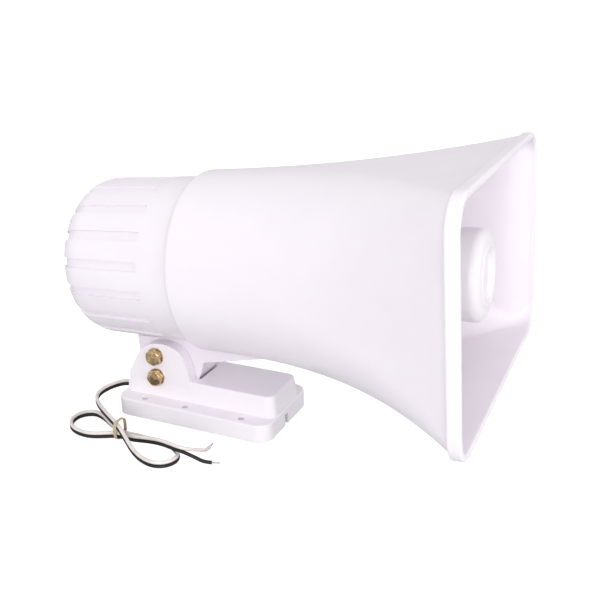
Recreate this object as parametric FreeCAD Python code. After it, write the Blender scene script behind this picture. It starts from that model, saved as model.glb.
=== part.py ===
import FreeCAD, Part
import math
import os

# Tilting horn loudspeaker with a rectangular mouth, a ribbed rear cover and a
# screw-down base. All sizes in millimetres. Frame: origin in the middle of the
# base's underside, +X the way the horn points, +Z up.

# Mouth and flare
MOUTH_WIDTH = 209.0
MOUTH_HEIGHT = 132.6
MOUTH_CORNER = 19.0
RIM_DEPTH = 7.4
RIM_LIP_SIDE = 7.2
RIM_LIP_TOP = 1.6
RIM_FACE = 4.0
RIM_EDGE = 1.6
RIM_INNER_EDGE = 1.4
FLARE_END_CORNER = 11.5
FLARE_START_FLAT = 0.4
BELL_WALL = 2.5
BELL_RADIUS = 57.5
BELL_LENGTH = 186.9
SHOULDER = 4.0
SHOULDER_SINK = 0.02
BULKHEAD = 5.0
PILOT_HOLE_FLOOR = 0.8
WIDTH_CURVE = 2.72
HEIGHT_CURVE = 1.11
CORNER_CURVE = 2.66
FLARE_STATIONS = (0.0, 0.06, 0.16, 0.3, 0.45, 0.6, 0.75, 0.88, 1.0)
FLARE_OVERRUN = 1.016

# Rear cover
COVER_FRONT_RADIUS = 53.4
COVER_REAR_RADIUS = 51.4
COVER_LENGTH = 83.0
COVER_WALL = 2.5
COVER_EDGE = 17.0
COVER_FIT = 0.15
GROOVE_COUNT = 18
GROOVE_ANGLE = 6.2
GROOVE_DEPTH = 1.4
GROOVE_END_STEP = 1.0
PLAIN_BAND = 20.0
SEAL_THICKNESS = 0.8
SPIGOT_LENGTH = 10.0
SPIGOT_WALL = 2.0
COVER_SCREW_CIRCLE = 41.0
COVER_SCREW_COUNT = 4
COVER_SCREW_SHANK = 2.0
COVER_SCREW_HEAD = 3.6
COVER_SCREW_HEAD_HEIGHT = 2.6
COVER_SCREW_SINK = 4.4
PILLAR_RADIUS = 5.4
PILLAR_GAP = 0.2
COVER_SCREW_FIT = 0.2
COVER_SCREW_SHORT = 2.0
BOSS_LENGTH = 14.0

# Cross recess and rounding of every pan-head screw, as shares of the head
RECESS_SLOT_SHARE = 0.36
RECESS_REACH_SHARE = 0.62
RECESS_DEPTH_SHARE = 0.55
HEAD_ROUND_SHARE = 0.45

# Reflector and throat tube
REFLECTOR_RADIUS = 26.5
REFLECTOR_WALL = 2.0
REFLECTOR_SETBACK = 9.2
REFLECTOR_LENGTH = 108.0
REFLECTOR_EDGE = 6.0
DISH_RADIUS = 14.6
DISH_DEPTH = 2.6
DISH_RING_RADIUS = 18.0
DISH_RING_HEIGHT = 0.7
DISH_SLOPE = 2.0
DISH_CROWN = 0.8
DEFLECTOR_RADIUS = 12.0
DEFLECTOR_HEIGHT = 14.0
DEFLECTOR_TIP = 1.0
THROAT_RADIUS = 9.0
THROAT_FRONT_RADIUS = 15.0
THROAT_WALL = 2.0
THROAT_GAP = 22.0
THROAT_FLANGE = 22.0
THROAT_FLANGE_THICKNESS = 2.5
FIN_COUNT = 3
FIN_THICKNESS = 2.0
FIN_LENGTH = 60.0
FIN_INSET = 4.0
FIN_FIT = 0.1
SPIGOT_FIT = 0.1

# Driver
DRIVER_RADIUS = 34.0
DRIVER_GASKET = 0.8
FRAME_FRONT_WALL = 4.0
FRAME_DEPTH = 9.0
DIAPHRAGM_BED = 1.8
SURROUND_RADIUS = 24.0
SURROUND_LEDGE = 2.4
SURROUND_THICKNESS = 0.4
DIAPHRAGM_RADIUS = 19.5
DOME_HEIGHT = 2.2
EDGE_GAP = 0.3
COIL_RADIUS = 12.6
COIL_WALL = 0.6
COIL_LENGTH = 8.0
COIL_GAP = 0.6
TOP_PLATE_RADIUS = 25.0
TOP_PLATE_THICKNESS = 5.0
MAGNET_RADIUS = 28.0
MAGNET_BORE = 17.0
MAGNET_THICKNESS = 16.0
BACK_PLATE_THICKNESS = 5.0
DRIVER_SCREW_CIRCLE = 31.0
DRIVER_SCREW_COUNT = 4
DRIVER_SCREW_SHANK = 1.5
DRIVER_SCREW_HEAD = 2.6
DRIVER_SCREW_HEAD_HEIGHT = 1.8
PLUG_RING_WALL = 1.5
PLUG_RADIUS = 4.5
PLUG_FIT = 0.05
PLUG_RIB = 1.2
TERMINAL_BLOCK = (7.0, 22.0, 9.0)
TERMINAL_SPACING = 11.0
TERMINAL_RADIUS = 2.2
TERMINAL_LENGTH = 4.0

# Foot, hinge and how the horn stands on the base
REST_TILT = 3.9
MOUTH_X = 189.9
MOUTH_Z = 118.9
PIVOT_X = -30.4
PIVOT_Z = 41.0
BOLT_SPACING = 15.0
BOLT_RADIUS = 3.0
BOLT_FLATS = 10.0
BOLT_HEAD_HEIGHT = 4.0
BOLT_TAIL = 2.0
NUT_HEIGHT = 5.0
WASHER_RADIUS = 5.9
WASHER_THICKNESS = 0.8
WASHER_FIT = 0.2
SPOT_FACE = 0.6
HINGE_FIT = 0.08
SLOT_FIT = 0.3
TILT_UP = 25.0
TILT_DOWN = 12.0
SLOT_MARGIN = 2.0
EAR_INNER = 12.0
EAR_THICKNESS = 8.0
FOOT_SIDE_GAP = 0.4
FOOT_WALL = 3.5
FOOT_REAR_X = -49.5
FOOT_REAR_LEAN = 1.5
FOOT_REAR_STEP = 1.0
FOOT_HEEL_X = -47.5
FOOT_BOTTOM_Z = 17.0
FOOT_TOE_RADIUS = 31.2
FOOT_POCKET_LENGTH = 22.0
FOOT_COVER_GAP = 0.5
FOOT_CEILING_Z = 47.5
FOOT_TOP_Z = 65.5
WEB_TIP_X = 56.0
WEB_TIP_Z = 51.0
WEB_MID_X = 23.0
WEB_MID_Z = 43.0
WEB_HEEL_Z = 38.0

# Base
BASE_LENGTH = 114.0
BASE_WIDTH = 66.0
BASE_CORNER = 10.0
PLINTH_HEIGHT = 12.0
BLOCK_HEIGHT = 26.0
BLOCK_HALF_FOOT = 21.4
BLOCK_DRAFT = 2.0
BLOCK_CORNER = 6.0
BASE_WALL = 3.0
BASE_EDGE = 1.2
EAR_TOP = 9.2
EAR_HEEL_X = -54.6
EAR_REAR_MID = (-50.0, 30.5)
EAR_REAR_SHOULDER = (-42.6, 43.0)
EAR_CROWN_X = -28.0
EAR_FRONT_SHOULDER = (-12.1, 46.0)
EAR_FRONT_MID = (-7.9, 38.0)
EAR_TOE_X = -5.5
EAR_TOE_SINK = 2.0
RECESS_WALL_REAR_X = -50.0
RECESS_CURVE_START = 6.0
RECESS_FRONT_GAP = 1.4
SCREW_HOLE_RADIUS = 2.1
SCREW_BOSS_RADIUS = 4.6
SCREW_ROW_Y = 27.3
SCREW_END_X = 36.2
SCREW_MID_X = -5.2
NOTCH_WIDTH = 5.0
NOTCH_HEIGHT = 8.0
NOTCH_Y = -3.0

# Lead
WIRE_RADIUS = 1.15
WIRE_PITCH = 2.5
WIRE_FIT = 0.05
CONDUCTOR_RADIUS = 0.6
TIP_LENGTH = 5.0
GROMMET_Y = -8.0
GROMMET_Z = 11.0
GROMMET_RADIUS = 3.8
GROMMET_FLANGE = 5.2
GROMMET_FLANGE_THICKNESS = 1.4
GROMMET_LIP_GAP = 1.4
GROMMET_FIT = 0.1
ENTRY_RADIUS = 3.6
ENTRY_FLANGE = 5.0
ENTRY_FLANGE_THICKNESS = 1.2
ENTRY_STEP = 0.8
ENTRY_REACH = 2.0
ENTRY_RUN = 12.0
ENTRY_BEHIND_SEAM = 34.4
INNER_WIRE_SPACING = 2.9
INNER_WIRE_DROP = 12.0
INNER_WIRE_SWING = 4.0
INNER_WIRE_TAIL = 6.0
TIE_WIDTH = 2.4
TIE_THICKNESS = 0.8
TIE_X = -35.2
TIE_NEAR_Y = -66.0
TIE_FAR_Y = -54.2
TIE_HEIGHT = 12.8
TIE_CORNER = 3.0

SEAM_X = -BELL_LENGTH
COVER_FRONT_X = SEAM_X - SEAL_THICKNESS
COVER_REAR_X = COVER_FRONT_X - COVER_LENGTH
FOOT_HALF = EAR_INNER - FOOT_SIDE_GAP
EAR_OUTER = EAR_INNER + EAR_THICKNESS
CLAMP_Z = PIVOT_Z - BOLT_SPACING
ENTRY_DEPTH = BELL_LENGTH + ENTRY_BEHIND_SEAM
ENTRY_TOP = -(COVER_REAR_RADIUS - COVER_WALL) + ENTRY_REACH
ENTRY_BOTTOM = -(COVER_FRONT_RADIUS + ENTRY_RUN)

X_AXIS = FreeCAD.Vector(1, 0, 0)
Y_AXIS = FreeCAD.Vector(0, 1, 0)
Z_AXIS = FreeCAD.Vector(0, 0, 1)

os.makedirs("parts", exist_ok=True)


def vec(x, y, z):
    return FreeCAD.Vector(x, y, z)


def save(name, shape):
    shape.exportStep("parts/" + name + ".step")
    print(name, round(shape.Volume, 1), len(shape.Solids), shape.isValid())


def box(x0, x1, y0, y1, z0, z1):
    return Part.makeBox(x1 - x0, y1 - y0, z1 - z0, vec(x0, y0, z0))


def rod_x(radius, x0, x1, y=0.0, z=0.0):
    """Round bar along X from x0 to x1."""
    return Part.makeCylinder(radius, x1 - x0, vec(x0, y, z), X_AXIS)


def tube_x(outer, inner, x0, x1):
    """Ring along X."""
    return rod_x(outer, x0, x1).cut(rod_x(inner, x0 - 1, x1 + 1))


def rod_y(radius, y0, y1, x, z):
    """Round bar along Y from y0 to y1."""
    return Part.makeCylinder(radius, y1 - y0, vec(x, y0, z), Y_AXIS)


def hex_y(flats, y0, y1, x, z):
    """Hexagonal bar along Y with two corners up and down."""
    reach = flats / math.sqrt(3)
    corners = []
    for k in range(7):
        turn = math.radians(60 * k)
        corners.append(vec(x + reach * math.sin(turn), y0, z + reach * math.cos(turn)))
    face = Part.Face(Part.makePolygon(corners))
    return face.extrude(vec(0, y1 - y0, 0))


def revolve_x(edges):
    """Solid of revolution about X from a closed outline in the XZ half plane."""
    face = Part.Face(Part.Wire(edges))
    return face.revolve(vec(0, 0, 0), X_AXIS, 360)


def line(a, b):
    return Part.LineSegment(a, b).toShape()


def arc(a, b, c):
    return Part.Arc(a, b, c).toShape()


def quarter_arc(centre, radius, start, end):
    """Arc in the XZ plane about centre, angles in degrees from +X towards +Z."""
    points = []
    for angle in (start, (start + end) / 2, end):
        turn = math.radians(angle)
        points.append(centre + vec(radius * math.cos(turn), 0, radius * math.sin(turn)))
    return arc(*points)


def turned(shape, angle):
    """Copy turned about the horn's axis."""
    copy = shape.copy()
    copy.rotate(vec(0, 0, 0), X_AXIS, angle)
    return copy


def ring_of(shape, count, first=0.0):
    """The shape repeated evenly around the horn's axis."""
    copies = []
    for k in range(count):
        copies.append(turned(shape, first + 360 * k / count))
    return Part.makeCompound(copies)


def stand(shape):
    """Moves a piece from the horn's own frame (mouth centre, +X out) to its rest place."""
    placed = shape.copy()
    placed.rotate(vec(0, 0, 0), Y_AXIS, -REST_TILT)
    placed.translate(vec(MOUTH_X, 0, MOUTH_Z))
    return placed


def rounded_section(x, half_width, half_height, corner):
    """Rounded rectangle in a plane of constant x."""
    w = half_width
    h = half_height
    c = corner
    k = c * (1 - math.sqrt(0.5))
    edges = [
        line(vec(x, w, c - h), vec(x, w, h - c)),
        arc(vec(x, w, h - c), vec(x, w - k, h - k), vec(x, w - c, h)),
        line(vec(x, w - c, h), vec(x, c - w, h)),
        arc(vec(x, c - w, h), vec(x, k - w, h - k), vec(x, -w, h - c)),
        line(vec(x, -w, h - c), vec(x, -w, c - h)),
        arc(vec(x, -w, c - h), vec(x, k - w, k - h), vec(x, c - w, -h)),
        line(vec(x, c - w, -h), vec(x, w - c, -h)),
        arc(vec(x, w - c, -h), vec(x, w - k, k - h), vec(x, w, c - h)),
    ]
    return Part.Wire(edges)


def flare_section(share, inset):
    """Flare outline at a share of its length, inset by a wall."""
    start = SEAM_X + SHOULDER
    x = start + share * (-RIM_DEPTH - start)
    end_w = MOUTH_WIDTH / 2 - RIM_LIP_SIDE
    end_h = MOUTH_HEIGHT / 2 - RIM_LIP_TOP
    w = BELL_RADIUS + (end_w - BELL_RADIUS) * share**WIDTH_CURVE
    h = BELL_RADIUS + (end_h - BELL_RADIUS) * share**HEIGHT_CURVE
    round_start = BELL_RADIUS - FLARE_START_FLAT
    c = round_start + (FLARE_END_CORNER - round_start) * share**CORNER_CURVE
    return rounded_section(x, w - inset, h - inset, c - inset)


def flare_solid():
    """Solid flare from the shoulder, running on a little into the rim."""
    wires = [flare_section(share, 0) for share in FLARE_STATIONS]
    wires.append(flare_section(FLARE_OVERRUN, 0))
    return Part.makeLoft(wires, True, False)


def flare_air():
    """The air in the flare, carried on in one sweep past the mouth."""
    wires = [flare_section(share, BELL_WALL) for share in FLARE_STATIONS]
    opening_w = MOUTH_WIDTH / 2 - RIM_FACE
    opening_h = MOUTH_HEIGHT / 2 - RIM_FACE
    opening_c = MOUTH_CORNER - RIM_FACE
    for x in (0.0, 1.0):
        wires.append(rounded_section(x, opening_w, opening_h, opening_c))
    return Part.makeLoft(wires, True, False)


def prism_x(half_width, half_height, corner, x0, x1):
    return Part.Face(rounded_section(x0, half_width, half_height, corner)).extrude(vec(x1 - x0, 0, 0))


# ---- horn bell with its foot ----
def bell_inside():
    """The air inside the bell, from the bulkhead to past the mouth."""
    room = BELL_RADIUS * 2
    behind = box(SEAM_X - 1, SEAM_X + BULKHEAD, -room, room, -room, room)
    back_radius = BELL_RADIUS - BELL_WALL - FLARE_START_FLAT
    back = rod_x(back_radius, SEAM_X + BULKHEAD, SEAM_X + SHOULDER + BULKHEAD)
    return flare_air().cut(behind).fuse(back)


def bell_shoulder():
    """Rounded step from the bell down to the cover, with the cover's spigot and screw bosses."""
    top = BELL_RADIUS
    start = SEAM_X
    centre = vec(start + SHOULDER, 0, top - SHOULDER)
    edges = [
        line(vec(start, 0, 0), vec(start, 0, top - SHOULDER)),
        quarter_arc(centre, SHOULDER, 180, 90),
        line(vec(start + SHOULDER, 0, top), vec(start + BULKHEAD, 0, top - SHOULDER_SINK)),
        line(vec(start + BULKHEAD, 0, top - SHOULDER_SINK), vec(start + BULKHEAD, 0, 0)),
        line(vec(start + BULKHEAD, 0, 0), vec(start, 0, 0)),
    ]
    shoulder = revolve_x(edges)
    taper = (COVER_FRONT_RADIUS - COVER_REAR_RADIUS) * SPIGOT_LENGTH / COVER_LENGTH
    spigot_outer = COVER_FRONT_RADIUS - taper - COVER_WALL - COVER_FIT
    spigot = tube_x(spigot_outer, spigot_outer - SPIGOT_WALL, start - SPIGOT_LENGTH, start)
    boss = rod_x(PILLAR_RADIUS, start - BOSS_LENGTH, start, 0, COVER_SCREW_CIRCLE)
    return shoulder.fuse(spigot).fuse(ring_of(boss, COVER_SCREW_COUNT, 45).Solids)


def bell_rim():
    rim = prism_x(MOUTH_WIDTH / 2, MOUTH_HEIGHT / 2, MOUTH_CORNER, -RIM_DEPTH, 0)
    ends = [e for e in rim.Edges if abs(e.BoundBox.XMax - e.BoundBox.XMin) < 0.01]
    return rim.makeFillet(RIM_EDGE, ends)


def bell_holes():
    """Throat hole, pilot holes of the driver screws and of the cover screws."""
    throat = rod_x(THROAT_RADIUS + THROAT_WALL, SEAM_X - 1, SEAM_X + BULKHEAD + 1)
    driver_end = SEAM_X + BULKHEAD - PILOT_HOLE_FLOOR
    driver = rod_x(DRIVER_SCREW_SHANK, SEAM_X - 1, driver_end, 0, DRIVER_SCREW_CIRCLE)
    cover = rod_x(COVER_SCREW_SHANK, SEAM_X - BOSS_LENGTH - 1, SEAM_X - 1, 0, COVER_SCREW_CIRCLE)
    holes = [throat]
    holes += ring_of(driver, DRIVER_SCREW_COUNT).Solids
    holes += ring_of(cover, COVER_SCREW_COUNT, 45).Solids
    return holes


def foot_outline():
    """Side outline of the foot and web, seen along Y at rest."""
    drop = FOOT_BOTTOM_Z - PIVOT_Z
    toe_x = PIVOT_X + math.sqrt(FOOT_TOE_RADIUS**2 - drop**2)
    rise = WEB_HEEL_Z - PIVOT_Z
    heel_x = PIVOT_X + math.sqrt(FOOT_TOE_RADIUS**2 - rise**2)
    toe_turn = (math.asin(drop / FOOT_TOE_RADIUS) + math.asin(rise / FOOT_TOE_RADIUS)) / 2
    toe_mid = vec(
        PIVOT_X + FOOT_TOE_RADIUS * math.cos(toe_turn), 0, PIVOT_Z + FOOT_TOE_RADIUS * math.sin(toe_turn)
    )
    top = FOOT_TOP_Z
    points = dict(
        rear_top=vec(FOOT_REAR_X - FOOT_REAR_LEAN, 0, top),
        rear_low=vec(FOOT_REAR_X + FOOT_REAR_STEP, 0, WEB_HEEL_Z),
        heel=vec(FOOT_HEEL_X, 0, FOOT_BOTTOM_Z),
        toe=vec(toe_x, 0, FOOT_BOTTOM_Z),
        web_heel=vec(heel_x, 0, WEB_HEEL_Z),
        web_mid=vec(WEB_MID_X, 0, WEB_MID_Z),
        web_tip=vec(WEB_TIP_X, 0, WEB_TIP_Z),
        tip_top=vec(WEB_TIP_X, 0, top),
    )
    edges = [
        line(points["rear_top"], points["rear_low"]),
        line(points["rear_low"], points["heel"]),
        line(points["heel"], points["toe"]),
        arc(points["toe"], toe_mid, points["web_heel"]),
        line(points["web_heel"], points["web_mid"]),
        line(points["web_mid"], points["web_tip"]),
        line(points["web_tip"], points["tip_top"]),
        line(points["tip_top"], points["rear_top"]),
    ]
    return Part.Wire(edges)


def clamp_slot():
    """Curved slot for the lower bolt, centred on the hinge."""
    half = BOLT_RADIUS + SLOT_FIT
    outer = Part.makeCylinder(BOLT_SPACING + half, 60, vec(PIVOT_X, -30, PIVOT_Z), Y_AXIS)
    inner = Part.makeCylinder(BOLT_SPACING - half, 62, vec(PIVOT_X, -31, PIVOT_Z), Y_AXIS)
    band = outer.cut(inner)
    reach = BOLT_SPACING * 3
    corners = [vec(PIVOT_X, -32, PIVOT_Z)]
    ends = []
    for angle in (-90 - TILT_UP - SLOT_MARGIN, -90 + TILT_DOWN + SLOT_MARGIN):
        turn = math.radians(angle)
        corners.append(vec(PIVOT_X + reach * math.cos(turn), -32, PIVOT_Z + reach * math.sin(turn)))
        ends.append((PIVOT_X + BOLT_SPACING * math.cos(turn), PIVOT_Z + BOLT_SPACING * math.sin(turn)))
    corners.append(corners[0])
    sector = Part.Face(Part.makePolygon(corners)).extrude(vec(0, 64, 0))
    slot = band.common(sector)
    for x, z in ends:
        slot = slot.fuse(rod_y(half, -30, 30, x, z))
    return slot


def foot():
    """Hollow foot between the base's ears, and the web that ties it to the bell."""
    slab = Part.Face(foot_outline()).extrude(vec(0, 2 * FOOT_HALF, 0))
    slab.translate(vec(0, -FOOT_HALF, 0))
    under_cover = rod_x(COVER_FRONT_RADIUS + FOOT_COVER_GAP, COVER_REAR_X - 10, SEAM_X)
    slab = slab.cut(stand(under_cover))
    slab = slab.cut(stand(flare_air()))
    half = FOOT_HALF - FOOT_WALL
    rear = FOOT_HEEL_X + FOOT_WALL
    front = PIVOT_X + FOOT_POCKET_LENGTH
    pocket = box(rear, front, -half, half, FOOT_BOTTOM_Z - 1, FOOT_CEILING_Z)
    slab = slab.cut(pocket)
    slab = slab.cut(rod_y(BOLT_RADIUS + HINGE_FIT, -30, 30, PIVOT_X, PIVOT_Z))
    return slab.cut(clamp_slot())


def lead_entry(radius, top, bottom):
    """Round bar across the wall between the cover and the foot, square to the horn's axis."""
    return Part.makeCylinder(radius, top - bottom, vec(-ENTRY_DEPTH, 0, bottom), Z_AXIS)


def soft_mouth(shell):
    """Rounds the rim's inner edge."""
    edges = []
    for edge in shell.Edges:
        flat = abs(edge.BoundBox.XMin) < 0.001 and abs(edge.BoundBox.XMax) < 0.001
        reach_y = max(abs(edge.BoundBox.YMin), abs(edge.BoundBox.YMax))
        reach_z = max(abs(edge.BoundBox.ZMin), abs(edge.BoundBox.ZMax))
        inner = reach_y < MOUTH_WIDTH / 2 - RIM_FACE + 0.01 and reach_z < MOUTH_HEIGHT / 2 - RIM_FACE + 0.01
        if flat and inner:
            edges.append(edge)
    return shell.makeFillet(RIM_INNER_EDGE, edges)


def horn_bell():
    shell = flare_solid().fuse(bell_shoulder()).fuse(bell_rim())
    shell = soft_mouth(shell.cut(bell_inside()))
    shell = shell.cut(Part.makeCompound(bell_holes()))
    bell = stand(shell).fuse(foot())
    entry = lead_entry(ENTRY_RADIUS + GROMMET_FIT, ENTRY_TOP, ENTRY_BOTTOM)
    return bell.cut(stand(entry)).removeSplitter()


save("horn_bell", horn_bell())


# ---- rear cover, its seal and screws ----
def cover_outline(inset, front_x):
    """Cover profile, offset inwards by inset, from its front edge to the axis at the rear."""
    straight = COVER_LENGTH - COVER_EDGE
    edge_r = COVER_FRONT_RADIUS + (COVER_REAR_RADIUS - COVER_FRONT_RADIUS) * straight / COVER_LENGTH
    bend = COVER_EDGE - inset
    centre = vec(COVER_REAR_X + COVER_EDGE, 0, edge_r - COVER_EDGE)
    rear_x = COVER_REAR_X + inset
    front = vec(front_x, 0, COVER_FRONT_RADIUS - inset)
    bend_start = centre + vec(0, 0, bend)
    bend_end = centre + vec(-bend, 0, 0)
    return [
        line(vec(front_x, 0, 0), front),
        line(front, bend_start),
        quarter_arc(centre, bend, 90, 180),
        line(bend_end, vec(rear_x, 0, 0)),
        line(vec(rear_x, 0, 0), vec(front_x, 0, 0)),
    ]


def rear_cover():
    outer = revolve_x(cover_outline(0, COVER_FRONT_X))
    core = revolve_x(cover_outline(GROOVE_DEPTH, COVER_FRONT_X + 1))
    half = COVER_FRONT_RADIUS * math.radians(GROOVE_ANGLE / 2)
    inner_edge = COVER_REAR_RADIUS - COVER_EDGE + GROOVE_END_STEP
    bar = box(COVER_REAR_X - 1, COVER_FRONT_X - PLAIN_BAND, -half, half, inner_edge, COVER_FRONT_RADIUS + 2)
    cutter = bar.cut(core)
    pitch = 360 / GROOVE_COUNT
    body = outer.cut(ring_of(cutter, GROOVE_COUNT, pitch))
    body = body.cut(revolve_x(cover_outline(COVER_WALL, COVER_FRONT_X + 1)))
    pillar_front = SEAM_X - BOSS_LENGTH - PILLAR_GAP
    rear_inside = COVER_REAR_X + COVER_WALL / 2
    pillar = rod_x(PILLAR_RADIUS, rear_inside, pillar_front, 0, COVER_SCREW_CIRCLE)
    pillars = ring_of(pillar, COVER_SCREW_COUNT, 45)
    pillars = pillars.common(revolve_x(cover_outline(COVER_WALL / 2, COVER_FRONT_X)))
    body = body.fuse(pillars.Solids)
    fit = COVER_SCREW_FIT
    shank = rod_x(COVER_SCREW_SHANK + fit, COVER_REAR_X - 1, SEAM_X, 0, COVER_SCREW_CIRCLE)
    sink_floor = COVER_REAR_X + COVER_SCREW_SINK
    sink = rod_x(COVER_SCREW_HEAD + fit * 2, COVER_REAR_X - 1, sink_floor, 0, COVER_SCREW_CIRCLE)
    body = body.cut(ring_of(shank.fuse(sink), COVER_SCREW_COUNT, 45))
    body = body.cut(lead_entry(ENTRY_RADIUS + GROMMET_FIT, ENTRY_TOP, ENTRY_BOTTOM))
    return stand(body.removeSplitter())


def cross_recess(radius, x, depth):
    """Cross-shaped driver recess, cut into a screw head from its -X face."""
    width = radius * RECESS_SLOT_SHARE
    reach = radius * RECESS_REACH_SHARE
    first = box(x - 1, x + depth, -width / 2, width / 2, -reach, reach)
    second = box(x - 1, x + depth, -reach, reach, -width / 2, width / 2)
    return first.fuse(second)


def pan_screw(shank, head, head_height, seat_x, tip_x):
    """Pan-head screw along X: head behind seat_x, shank to tip_x."""
    body = rod_x(head, seat_x - head_height, seat_x)
    rear = [e for e in body.Edges if abs(e.BoundBox.XMax - (seat_x - head_height)) < 0.01]
    body = body.makeFillet(head_height * HEAD_ROUND_SHARE, rear)
    body = body.cut(cross_recess(head, seat_x - head_height, head_height * RECESS_DEPTH_SHARE))
    return body.fuse(rod_x(shank, seat_x, tip_x))


def cover_screws():
    seat = COVER_REAR_X + COVER_SCREW_SINK
    tip = SEAM_X - COVER_SCREW_SHORT
    screw = pan_screw(COVER_SCREW_SHANK, COVER_SCREW_HEAD, COVER_SCREW_HEAD_HEIGHT, seat, tip)
    screw.translate(vec(0, 0, COVER_SCREW_CIRCLE))
    return stand(ring_of(screw, COVER_SCREW_COUNT, 45))


save("rear_cover", rear_cover())
seal_bore = COVER_FRONT_RADIUS - COVER_WALL
save("cover_seal", stand(tube_x(COVER_FRONT_RADIUS, seal_bore, COVER_FRONT_X, SEAM_X)))
save("cover_screws", cover_screws())


# ---- reflector and throat tube ----
THROAT_FRONT_X = -REFLECTOR_SETBACK - REFLECTOR_WALL - THROAT_GAP
REFLECTOR_REAR_X = -REFLECTOR_SETBACK - REFLECTOR_LENGTH


def reflector():
    """Cup with its open end to the rear: dished round front, deflector cone inside."""
    front = -REFLECTOR_SETBACK
    outer = REFLECTOR_RADIUS
    dish = DISH_RADIUS
    ring = DISH_RING_RADIUS
    floor = front - DISH_DEPTH
    crest = front + DISH_RING_HEIGHT
    edge_centre = vec(front - REFLECTOR_EDGE, 0, outer - REFLECTOR_EDGE)
    inside = front - DISH_DEPTH - REFLECTOR_WALL
    bore = outer - REFLECTOR_WALL
    bend = REFLECTOR_EDGE - REFLECTOR_WALL / 2
    inner_centre = vec(inside - bend, 0, bore - bend)
    crown = floor + DISH_CROWN
    crown_mid = floor + DISH_CROWN * 3 / 4
    tip_x = inside - DEFLECTOR_HEIGHT
    edges = [
        arc(vec(crown, 0, 0), vec(crown_mid, 0, dish / 2), vec(floor, 0, dish - DISH_SLOPE)),
        line(vec(floor, 0, dish - DISH_SLOPE), vec(front, 0, dish)),
        arc(vec(front, 0, dish), vec(crest, 0, (dish + ring) / 2), vec(front, 0, ring)),
        line(vec(front, 0, ring), vec(front, 0, edge_centre.z)),
        quarter_arc(edge_centre, REFLECTOR_EDGE, 0, 90),
        line(vec(edge_centre.x, 0, outer), vec(REFLECTOR_REAR_X, 0, outer)),
        line(vec(REFLECTOR_REAR_X, 0, outer), vec(REFLECTOR_REAR_X, 0, bore)),
        line(vec(REFLECTOR_REAR_X, 0, bore), vec(inner_centre.x, 0, bore)),
        quarter_arc(inner_centre, bend, 90, 0),
        line(vec(inside, 0, inner_centre.z), vec(inside, 0, DEFLECTOR_RADIUS)),
        line(vec(inside, 0, DEFLECTOR_RADIUS), vec(tip_x, 0, DEFLECTOR_TIP)),
        line(vec(tip_x, 0, DEFLECTOR_TIP), vec(tip_x, 0, 0)),
        line(vec(tip_x, 0, 0), vec(crown, 0, 0)),
    ]
    return stand(revolve_x(edges))


def throat_tube():
    """Tube that widens forwards from the driver, with a flange on the bulkhead and three fins."""
    back = SEAM_X + PLUG_FIT
    flange = SEAM_X + BULKHEAD
    front = THROAT_FRONT_X
    r0 = THROAT_RADIUS
    r1 = THROAT_FRONT_RADIUS
    w = THROAT_WALL
    spigot = r0 + w - SPIGOT_FIT
    flange_front = flange + THROAT_FLANGE_THICKNESS
    corners = [
        vec(back, 0, r0),
        vec(back, 0, spigot),
        vec(flange, 0, spigot),
        vec(flange, 0, THROAT_FLANGE),
        vec(flange_front, 0, THROAT_FLANGE),
        vec(flange_front, 0, r0 + w),
        vec(front, 0, r1 + w),
        vec(front, 0, r1),
        vec(back, 0, r0),
    ]
    edges = [line(a, b) for a, b in zip(corners, corners[1:])]
    tube = revolve_x(edges)
    bore = REFLECTOR_RADIUS - REFLECTOR_WALL - FIN_FIT
    half = FIN_THICKNESS / 2
    fin_rear = REFLECTOR_REAR_X + FIN_INSET
    fin = box(fin_rear, fin_rear + FIN_LENGTH, -half, half, r0 + w, bore)
    fins = ring_of(fin, FIN_COUNT).common(tube_x(bore, r0 + w / 2, REFLECTOR_REAR_X, front))
    cone_corners = [vec(back, 0, 0), vec(back, 0, r0), vec(front, 0, r1), vec(front, 0, 0), vec(back, 0, 0)]
    air = revolve_x([line(a, b) for a, b in zip(cone_corners, cone_corners[1:])])
    return stand(tube.fuse(fins.cut(air).Solids).removeSplitter())


save("reflector", reflector())
save("throat_tube", throat_tube())


# ---- driver, a stack behind the bulkhead ----
GASKET_X = SEAM_X - DRIVER_GASKET
BED_X = GASKET_X - FRAME_FRONT_WALL
CONE_X = BED_X - DIAPHRAGM_BED
FRAME_REAR_X = GASKET_X - FRAME_DEPTH
TOP_PLATE_REAR_X = FRAME_REAR_X - TOP_PLATE_THICKNESS
MAGNET_REAR_X = TOP_PLATE_REAR_X - MAGNET_THICKNESS
BACK_PLATE_REAR_X = MAGNET_REAR_X - BACK_PLATE_THICKNESS
POLE_RADIUS = COIL_RADIUS - COIL_WALL - COIL_GAP
TERMINAL_FRONT_X = BACK_PLATE_REAR_X
LEDGE_RADIUS = SURROUND_RADIUS - SURROUND_LEDGE


def screw_ring(radius, x0, x1):
    return ring_of(rod_x(radius, x0, x1, 0, DRIVER_SCREW_CIRCLE), DRIVER_SCREW_COUNT)


def driver_frame():
    body = rod_x(DRIVER_RADIUS, FRAME_REAR_X, GASKET_X)
    body = body.cut(rod_x(THROAT_RADIUS, BED_X - 1, GASKET_X + 1))
    body = body.cut(rod_x(LEDGE_RADIUS, CONE_X - 1, BED_X))
    body = body.cut(rod_x(SURROUND_RADIUS, FRAME_REAR_X - 1, CONE_X))
    return body.cut(screw_ring(DRIVER_SCREW_SHANK + 0.1, FRAME_REAR_X - 1, GASKET_X + 1))


def driver_gasket():
    body = tube_x(DRIVER_RADIUS, THROAT_RADIUS + THROAT_WALL + 1, GASKET_X, SEAM_X)
    return body.cut(screw_ring(DRIVER_SCREW_SHANK + 0.1, GASKET_X - 1, SEAM_X + 1))


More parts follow.
